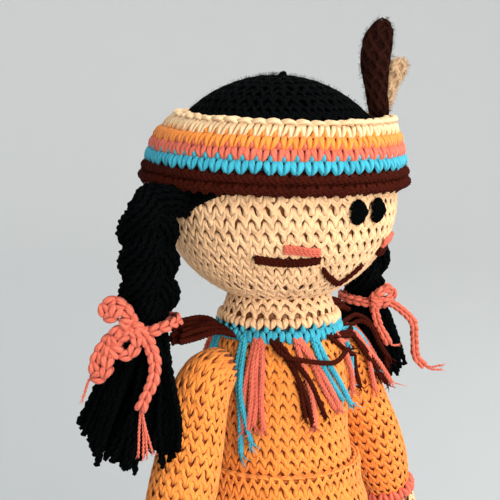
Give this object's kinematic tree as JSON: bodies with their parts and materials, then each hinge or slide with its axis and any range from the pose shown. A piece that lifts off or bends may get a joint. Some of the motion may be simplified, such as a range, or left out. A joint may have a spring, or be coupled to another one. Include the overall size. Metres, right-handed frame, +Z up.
{
  "type": "crocheted doll",
  "caption": "Crocheted stuffed doll with a striped headband, feathers, tied braids, a fringed dress and boots; arms, legs, head and braids move.",
  "frame": {"origin": "on the floor, under the middle of the doll's bounding box", "axes": "+Z up, the doll faces -Y, +X towards the doll's left hand"},
  "size_m": [0.1828, 0.1086, 0.3075],
  "materials": {
    "skin": "matt cotton yarn",
    "orange": "matt cotton yarn",
    "coral": "matt cotton yarn",
    "turquoise": "matt cotton yarn",
    "brown": "matt cotton yarn",
    "cream": "matt cotton yarn",
    "black": "matt cotton yarn",
    "stuffing": "loose polyester fibre",
    "card": "plain card"
  },
  "bodies": {
    "body": {"dress_body": "orange", "body_stuffing": "stuffing", "neck": "skin", "collar": "turquoise", "skirt": "orange", "fringe_01_brown": "brown", "fringe_02_coral": "coral", "fringe_03_turquoise": "turquoise", "fringe_04_brown": "brown", "fringe_05_turquoise": "turquoise", "fringe_06_coral": "coral", "fringe_07_brown": "brown", "fringe_08_coral": "coral", "fringe_09_turquoise": "turquoise", "fringe_10_brown": "brown", "fringe_11_coral": "coral", "fringe_12_turquoise": "turquoise", "fringe_13_brown": "brown", "fringe_14_coral": "coral", "fringe_15_brown": "brown", "fringe_16_turquoise": "turquoise"},
    "head": {"head_skin": "skin", "head_stuffing": "stuffing", "hair_cap": "black", "band_brown": "brown", "band_turquoise": "turquoise", "band_coral": "coral", "band_orange": "orange", "band_cream": "cream", "feather_brown": "brown", "feather_cream": "cream", "right_eye": "black", "left_eye": "black", "mouth": "brown", "right_cheek_coral": "coral", "right_cheek_brown": "brown", "left_cheek_coral": "coral", "left_cheek_brown": "brown"},
    "right_arm": {"right_sleeve": "orange", "right_cuff": "coral", "right_hand": "skin", "right_arm_stuffing": "stuffing"},
    "left_arm": {"left_sleeve": "orange", "left_cuff": "coral", "left_hand": "skin", "left_arm_stuffing": "stuffing"},
    "right_leg": {"right_leg": "skin", "right_boot": "brown", "right_insole": "card", "right_leg_stuffing": "stuffing"},
    "left_leg": {"left_leg": "skin", "left_boot": "brown", "left_insole": "card", "left_leg_stuffing": "stuffing"},
    "right_hair": {"right_braid": "black", "right_tassel": "black", "right_hair_tie": "coral"},
    "left_hair": {"left_braid": "black", "left_tassel": "black", "left_hair_tie": "coral"}
  },
  "joints": [
    {"name": "head_turn", "type": "hinge", "parent": "body", "child": "head", "pos_m": [0, -0.003, 0.1968], "axis": [0, 0, 1], "range_deg": [-10, 10]},
    {"name": "right_shoulder", "type": "hinge", "parent": "body", "child": "right_arm", "pos_m": [-0.02909, -0.0015, 0.1682], "axis": [-1, 0, 0], "range_deg": [-20, 90]},
    {"name": "left_shoulder", "type": "hinge", "parent": "body", "child": "left_arm", "pos_m": [0.02909, -0.0015, 0.1682], "axis": [-1, 0, 0], "range_deg": [-20, 90]},
    {"name": "right_hip", "type": "hinge", "parent": "body", "child": "right_leg", "pos_m": [-0.017, -0.003, 0.084], "axis": [-1, 0, 0], "range_deg": [-20, 70]},
    {"name": "left_hip", "type": "hinge", "parent": "body", "child": "left_leg", "pos_m": [0.017, -0.003, 0.084], "axis": [-1, 0, 0], "range_deg": [-20, 70]},
    {"name": "right_braid_swing", "type": "hinge", "parent": "head", "child": "right_hair", "pos_m": [-0.04771, 0.0045, 0.23382], "axis": [0, 1, 0], "range_deg": [0, 40]},
    {"name": "left_braid_swing", "type": "hinge", "parent": "head", "child": "left_hair", "pos_m": [0.04771, 0.0045, 0.23382], "axis": [0, -1, 0], "range_deg": [0, 40]}
  ]
}
